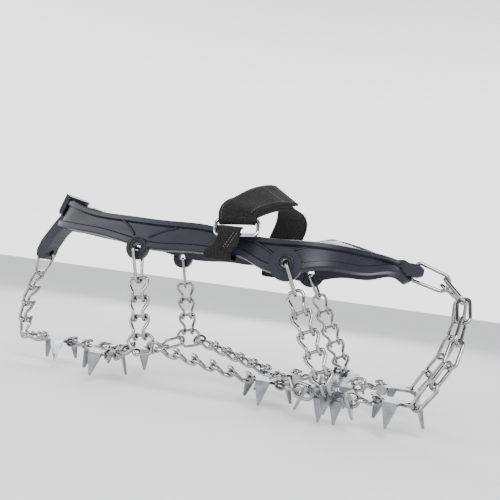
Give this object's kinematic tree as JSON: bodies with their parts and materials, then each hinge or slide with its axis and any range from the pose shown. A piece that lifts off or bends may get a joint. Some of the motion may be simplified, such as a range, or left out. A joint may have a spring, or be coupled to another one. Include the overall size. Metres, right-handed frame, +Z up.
{
  "type": "microspikes",
  "caption": "Slip-on traction device for a boot: stretch harness with an instep strap, hanging link chains and a net of spiked plates under the sole.",
  "frame": {"origin": "centre of the boot sole's contact plane, where the chains and plates meet the sole", "axes": "+X towards the toe, +Y towards the wearer's left, +Z up"},
  "size_m": [0.2962, 0.1168, 0.1382],
  "materials": {
    "harness_rubber": "satin",
    "webbing": "matte",
    "hook_and_loop": "matte",
    "chain_steel": "polished",
    "spike_steel": "polished",
    "ring_steel": "polished"
  },
  "bodies": {
    "harness": {"harness": "harness_rubber", "webbing_loop": "webbing", "strap_anchor": "webbing", "instep_strap": "webbing", "loop_patch": "hook_and_loop", "sole_chain_sides": "chain_steel", "sole_chain_centre": "chain_steel"},
    "heel_chain_link_1": {"heel_chain_link_1": "chain_steel"},
    "heel_chain_link_2": {"heel_chain_link_2": "chain_steel"},
    "heel_chain_link_3": {"heel_chain_link_3": "chain_steel"},
    "heel_chain_link_4": {"heel_chain_link_4": "chain_steel"},
    "heel_chain_link_5": {"heel_chain_link_5": "chain_steel"},
    "heel_chain_link_6": {"heel_chain_link_6": "chain_steel"},
    "heel_plate": {"heel_plate": "spike_steel"},
    "toe_chain_link": {"toe_chain_link": "chain_steel"},
    "rear_chain_right_1": {"rear_chain_right_1": "chain_steel"},
    "rear_chain_right_2": {"rear_chain_right_2": "chain_steel"},
    "rear_chain_right_3": {"rear_chain_right_3": "chain_steel"},
    "rear_chain_right_4": {"rear_chain_right_4": "chain_steel"},
    "junction_ring_right": {"junction_ring_right": "chain_steel"},
    "front_chain_right_1": {"front_chain_right_1": "chain_steel"},
    "front_chain_right_2": {"front_chain_right_2": "chain_steel"},
    "front_chain_right_3": {"front_chain_right_3": "chain_steel"},
    "front_chain_right_4": {"front_chain_right_4": "chain_steel"},
    "front_chain_right_5": {"front_chain_right_5": "chain_steel"},
    "front_chain_right_6": {"front_chain_right_6": "chain_steel"},
    "forefoot_plate_right": {"forefoot_plate_right": "spike_steel"},
    "heel_side_plate_right": {"heel_side_plate_right": "spike_steel"},
    "toe_plate_right": {"toe_plate_right": "spike_steel"},
    "side_claw_plate_right": {"side_claw_plate_right": "spike_steel"},
    "toe_chain_right_1": {"toe_chain_right_1": "chain_steel"},
    "toe_chain_right_2": {"toe_chain_right_2": "chain_steel"},
    "toe_chain_right_3": {"toe_chain_right_3": "chain_steel"},
    "toe_chain_right_4": {"toe_chain_right_4": "chain_steel"},
    "toe_chain_right_5": {"toe_chain_right_5": "chain_steel"},
    "toe_chain_right_6": {"toe_chain_right_6": "chain_steel"},
    "rear_chain_left_1": {"rear_chain_left_1": "chain_steel"},
    "rear_chain_left_2": {"rear_chain_left_2": "chain_steel"},
    "rear_chain_left_3": {"rear_chain_left_3": "chain_steel"},
    "rear_chain_left_4": {"rear_chain_left_4": "chain_steel"},
    "junction_ring_left": {"junction_ring_left": "chain_steel"},
    "front_chain_left_1": {"front_chain_left_1": "chain_steel"},
    "front_chain_left_2": {"front_chain_left_2": "chain_steel"},
    "front_chain_left_3": {"front_chain_left_3": "chain_steel"},
    "front_chain_left_4": {"front_chain_left_4": "chain_steel"},
    "front_chain_left_5": {"front_chain_left_5": "chain_steel"},
    "front_chain_left_6": {"front_chain_left_6": "chain_steel"},
    "forefoot_plate_left": {"forefoot_plate_left": "spike_steel"},
    "heel_side_plate_left": {"heel_side_plate_left": "spike_steel"},
    "toe_plate_left": {"toe_plate_left": "spike_steel"},
    "side_claw_plate_left": {"side_claw_plate_left": "spike_steel"},
    "toe_chain_left_1": {"toe_chain_left_1": "chain_steel"},
    "toe_chain_left_2": {"toe_chain_left_2": "chain_steel"},
    "toe_chain_left_3": {"toe_chain_left_3": "chain_steel"},
    "toe_chain_left_4": {"toe_chain_left_4": "chain_steel"},
    "toe_chain_left_5": {"toe_chain_left_5": "chain_steel"},
    "toe_chain_left_6": {"toe_chain_left_6": "chain_steel"},
    "buckle_ring": {"buckle_ring": "ring_steel"},
    "strap_tail": {"strap_tail": "webbing", "hook_patch": "hook_and_loop"}
  },
  "joints": [
    {"name": "strap_tail_peel", "type": "hinge", "parent": "harness", "child": "strap_tail", "pos_m": [0.00115, -0.046, 0.09093], "axis": [0.99, 0.1, 0.1], "range_deg": [0, 80]},
    {"name": "buckle_ring_swivel", "type": "hinge", "parent": "harness", "child": "buckle_ring", "pos_m": [0.001, -0.0432, 0.0896], "axis": [0.99, 0.1, 0.1], "range_deg": [-4, 4]},
    {"name": "heel_chain_link_1_swivel", "type": "hinge", "parent": "harness", "child": "heel_chain_link_1", "pos_m": [-0.1449, 0, 0.056], "axis": [-0.2254, 0, -0.9743], "range_deg": [-6, 6]},
    {"name": "heel_chain_link_2_swivel", "type": "hinge", "parent": "harness", "child": "heel_chain_link_2", "pos_m": [-0.148, 0, 0.0426], "axis": [-0.2793, 0, -0.9602], "range_deg": [-4, 4]},
    {"name": "heel_chain_link_3_swivel", "type": "hinge", "parent": "harness", "child": "heel_chain_link_3", "pos_m": [-0.1512, 0, 0.0316], "axis": [-0.1927, 0, -0.9812], "range_deg": [-4, 4]},
    {"name": "heel_chain_link_4_swivel", "type": "hinge", "parent": "harness", "child": "heel_chain_link_4", "pos_m": [-0.1534, 0, 0.0204], "axis": [-0.0351, 0, -0.9994], "range_deg": [-4, 4]},
    {"name": "heel_chain_link_5_swivel", "type": "hinge", "parent": "harness", "child": "heel_chain_link_5", "pos_m": [-0.1538, 0, 0.009], "axis": [0.2817, 0, -0.9595], "range_deg": [-4, 4]},
    {"name": "heel_chain_link_6_swivel", "type": "hinge", "parent": "harness", "child": "heel_chain_link_6", "pos_m": [-0.1506, 0, -0.0019], "axis": [1, 0, -0.0086], "range_deg": [-4, 4]},
    {"name": "heel_plate_swivel", "type": "hinge", "parent": "harness", "child": "heel_plate", "pos_m": [-0.127, 0, -0.002], "axis": [1, 0, 0], "range_deg": [-3, 3]},
    {"name": "toe_chain_link_swivel", "type": "hinge", "parent": "harness", "child": "toe_chain_link", "pos_m": [0.1045, 0, 0.075], "axis": [0.955, 0, -0.2966], "range_deg": [-5, 5]},
    {"name": "rear_chain_right_1_swivel", "type": "hinge", "parent": "harness", "child": "rear_chain_right_1", "pos_m": [-0.0593, -0.0416, 0.0656], "axis": [0.2113, -0.065, -0.9753], "range_deg": [-6, 6]},
    {"name": "rear_chain_right_2_swivel", "type": "hinge", "parent": "harness", "child": "rear_chain_right_2", "pos_m": [-0.0554, -0.0428, 0.0476], "axis": [0.1994, -0.0352, -0.9793], "range_deg": [-4, 4]},
    {"name": "rear_chain_right_3_swivel", "type": "hinge", "parent": "harness", "child": "rear_chain_right_3", "pos_m": [-0.05313, -0.0432, 0.03647], "axis": [0.1994, -0.0352, -0.9793], "range_deg": [-4, 4]},
    {"name": "rear_chain_right_4_swivel", "type": "hinge", "parent": "harness", "child": "rear_chain_right_4", "pos_m": [-0.05087, -0.0436, 0.02533], "axis": [0.1994, -0.0352, -0.9793], "range_deg": [-4, 4]},
    {"name": "junction_ring_right_swivel", "type": "hinge", "parent": "harness", "child": "junction_ring_right", "pos_m": [-0.0486, -0.044, 0.0142], "axis": [0.1994, -0.0352, -0.9793], "range_deg": [-3, 3]},
    {"name": "front_chain_right_1_swivel", "type": "hinge", "parent": "harness", "child": "front_chain_right_1", "pos_m": [0.0345, -0.0514, 0.0664], "axis": [0.4335, -0.0638, -0.8989], "range_deg": [-6, 6]},
    {"name": "front_chain_right_2_swivel", "type": "hinge", "parent": "harness", "child": "front_chain_right_2", "pos_m": [0.0413, -0.0524, 0.0523], "axis": [0.4229, -0.0663, -0.9038], "range_deg": [-4, 4]},
    {"name": "front_chain_right_3_swivel", "type": "hinge", "parent": "harness", "child": "front_chain_right_3", "pos_m": [0.0464, -0.0532, 0.0414], "axis": [0.4528, -0.0385, -0.8908], "range_deg": [-4, 4]},
    {"name": "front_chain_right_4_swivel", "type": "hinge", "parent": "harness", "child": "front_chain_right_4", "pos_m": [0.0515, -0.05363, 0.03137], "axis": [0.4528, -0.0385, -0.8908], "range_deg": [-4, 4]},
    {"name": "front_chain_right_5_swivel", "type": "hinge", "parent": "harness", "child": "front_chain_right_5", "pos_m": [0.0566, -0.05407, 0.02133], "axis": [0.4528, -0.0385, -0.8908], "range_deg": [-4, 4]},
    {"name": "front_chain_right_6_swivel", "type": "hinge", "parent": "harness", "child": "front_chain_right_6", "pos_m": [0.0617, -0.0545, 0.0113], "axis": [0.4262, 0.092, -0.8999], "range_deg": [-2, 2]},
    {"name": "forefoot_plate_right_swivel", "type": "hinge", "parent": "harness", "child": "forefoot_plate_right", "pos_m": [0.01566, -0.02576, -0.002], "axis": [0.9958, -0.0914, 0], "range_deg": [-1.2, 1.2]},
    {"name": "heel_side_plate_right_swivel", "type": "hinge", "parent": "harness", "child": "heel_side_plate_right", "pos_m": [-0.07027, -0.03193, -0.002], "axis": [-0.4933, 0.8699, 0], "range_deg": [-3, 3]},
    {"name": "toe_plate_right_swivel", "type": "hinge", "parent": "harness", "child": "toe_plate_right", "pos_m": [0.09137, -0.03376, -0.0006], "axis": [0.9948, -0.1014, 0], "range_deg": [-3, 3]},
    {"name": "side_claw_plate_right_swivel", "type": "hinge", "parent": "harness", "child": "side_claw_plate_right", "pos_m": [0.0655, -0.05368, 0.00328], "axis": [1, 0, 0], "range_deg": [-1, 1]},
    {"name": "toe_chain_right_1_swivel", "type": "hinge", "parent": "harness", "child": "toe_chain_right_1", "pos_m": [0.12393, 0, 0.07095], "axis": [0.5763, -0.5439, -0.61], "range_deg": [-1, 4]},
    {"name": "toe_chain_right_2_swivel", "type": "hinge", "parent": "harness", "child": "toe_chain_right_2", "pos_m": [0.134, -0.0095, 0.0603], "axis": [0.0409, -0.62, -0.7835], "range_deg": [-8, 8]},
    {"name": "toe_chain_right_3_swivel", "type": "hinge", "parent": "harness", "child": "toe_chain_right_3", "pos_m": [0.1346, -0.0186, 0.0488], "axis": [-0.178, -0.5203, -0.8352], "range_deg": [-8, 8]},
    {"name": "toe_chain_right_4_swivel", "type": "hinge", "parent": "harness", "child": "toe_chain_right_4", "pos_m": [0.132, -0.0262, 0.0366], "axis": [-0.2337, -0.3987, -0.8868], "range_deg": [-8, 8]},
    {"name": "toe_chain_right_5_swivel", "type": "hinge", "parent": "harness", "child": "toe_chain_right_5", "pos_m": [0.1286, -0.032, 0.0237], "axis": [-0.4937, -0.2606, -0.8297], "range_deg": [-8, 8]},
    {"name": "toe_chain_right_6_swivel", "type": "hinge", "parent": "harness", "child": "toe_chain_right_6", "pos_m": [0.1214, -0.0358, 0.0116], "axis": [-0.5271, -0.0174, -0.8496], "range_deg": [-4, 4]},
    {"name": "rear_chain_left_1_swivel", "type": "hinge", "parent": "harness", "child": "rear_chain_left_1", "pos_m": [-0.0593, 0.0416, 0.0656], "axis": [0.2113, 0.065, -0.9753], "range_deg": [-6, 6]},
    {"name": "rear_chain_left_2_swivel", "type": "hinge", "parent": "harness", "child": "rear_chain_left_2", "pos_m": [-0.0554, 0.0428, 0.0476], "axis": [0.1994, 0.0352, -0.9793], "range_deg": [-4, 4]},
    {"name": "rear_chain_left_3_swivel", "type": "hinge", "parent": "harness", "child": "rear_chain_left_3", "pos_m": [-0.05313, 0.0432, 0.03647], "axis": [0.1994, 0.0352, -0.9793], "range_deg": [-4, 4]},
    {"name": "rear_chain_left_4_swivel", "type": "hinge", "parent": "harness", "child": "rear_chain_left_4", "pos_m": [-0.05087, 0.0436, 0.02533], "axis": [0.1994, 0.0352, -0.9793], "range_deg": [-4, 4]},
    {"name": "junction_ring_left_swivel", "type": "hinge", "parent": "harness", "child": "junction_ring_left", "pos_m": [-0.0486, 0.044, 0.0142], "axis": [0.1994, 0.0352, -0.9793], "range_deg": [-3, 3]},
    {"name": "front_chain_left_1_swivel", "type": "hinge", "parent": "harness", "child": "front_chain_left_1", "pos_m": [0.0345, 0.0514, 0.0664], "axis": [0.4335, 0.0638, -0.8989], "range_deg": [-6, 6]},
    {"name": "front_chain_left_2_swivel", "type": "hinge", "parent": "harness", "child": "front_chain_left_2", "pos_m": [0.0413, 0.0524, 0.0523], "axis": [0.4229, 0.0663, -0.9038], "range_deg": [-4, 4]},
    {"name": "front_chain_left_3_swivel", "type": "hinge", "parent": "harness", "child": "front_chain_left_3", "pos_m": [0.0464, 0.0532, 0.0414], "axis": [0.4528, 0.0385, -0.8908], "range_deg": [-4, 4]},
    {"name": "front_chain_left_4_swivel", "type": "hinge", "parent": "harness", "child": "front_chain_left_4", "pos_m": [0.0515, 0.05363, 0.03137], "axis": [0.4528, 0.0385, -0.8908], "range_deg": [-4, 4]},
    {"name": "front_chain_left_5_swivel", "type": "hinge", "parent": "harness", "child": "front_chain_left_5", "pos_m": [0.0566, 0.05407, 0.02133], "axis": [0.4528, 0.0385, -0.8908], "range_deg": [-4, 4]},
    {"name": "front_chain_left_6_swivel", "type": "hinge", "parent": "harness", "child": "front_chain_left_6", "pos_m": [0.0617, 0.0545, 0.0113], "axis": [0.4262, -0.092, -0.8999], "range_deg": [-2, 2]},
    {"name": "forefoot_plate_left_swivel", "type": "hinge", "parent": "harness", "child": "forefoot_plate_left", "pos_m": [0.01566, 0.02576, -0.002], "axis": [0.9958, 0.0914, 0], "range_deg": [-1.2, 1.2]},
    {"name": "heel_side_plate_left_swivel", "type": "hinge", "parent": "harness", "child": "heel_side_plate_left", "pos_m": [-0.07027, 0.03193, -0.002], "axis": [-0.4933, -0.8699, 0], "range_deg": [-3, 3]},
    {"name": "toe_plate_left_swivel", "type": "hinge", "parent": "harness", "child": "toe_plate_left", "pos_m": [0.09137, 0.03376, -0.0006], "axis": [0.9948, 0.1014, 0], "range_deg": [-3, 3]},
    {"name": "side_claw_plate_left_swivel", "type": "hinge", "parent": "harness", "child": "side_claw_plate_left", "pos_m": [0.0655, 0.05368, 0.00328], "axis": [1, 0, 0], "range_deg": [-1, 1]},
    {"name": "toe_chain_left_1_swivel", "type": "hinge", "parent": "harness", "child": "toe_chain_left_1", "pos_m": [0.12281, 0, 0.06732], "axis": [0.6878, 0.5837, -0.4316], "range_deg": [-1, 4]},
    {"name": "toe_chain_left_2_swivel", "type": "hinge", "parent": "harness", "child": "toe_chain_left_2", "pos_m": [0.134, 0.0095, 0.0603], "axis": [0.0409, 0.62, -0.7835], "range_deg": [-8, 8]},
    {"name": "toe_chain_left_3_swivel", "type": "hinge", "parent": "harness", "child": "toe_chain_left_3", "pos_m": [0.1346, 0.0186, 0.0488], "axis": [-0.178, 0.5203, -0.8352], "range_deg": [-8, 8]},
    {"name": "toe_chain_left_4_swivel", "type": "hinge", "parent": "harness", "child": "toe_chain_left_4", "pos_m": [0.132, 0.0262, 0.0366], "axis": [-0.2337, 0.3987, -0.8868], "range_deg": [-8, 8]},
    {"name": "toe_chain_left_5_swivel", "type": "hinge", "parent": "harness", "child": "toe_chain_left_5", "pos_m": [0.1286, 0.032, 0.0237], "axis": [-0.4937, 0.2606, -0.8297], "range_deg": [-8, 8]},
    {"name": "toe_chain_left_6_swivel", "type": "hinge", "parent": "harness", "child": "toe_chain_left_6", "pos_m": [0.1214, 0.0358, 0.0116], "axis": [-0.5271, 0.0174, -0.8496], "range_deg": [-4, 4]}
  ]
}
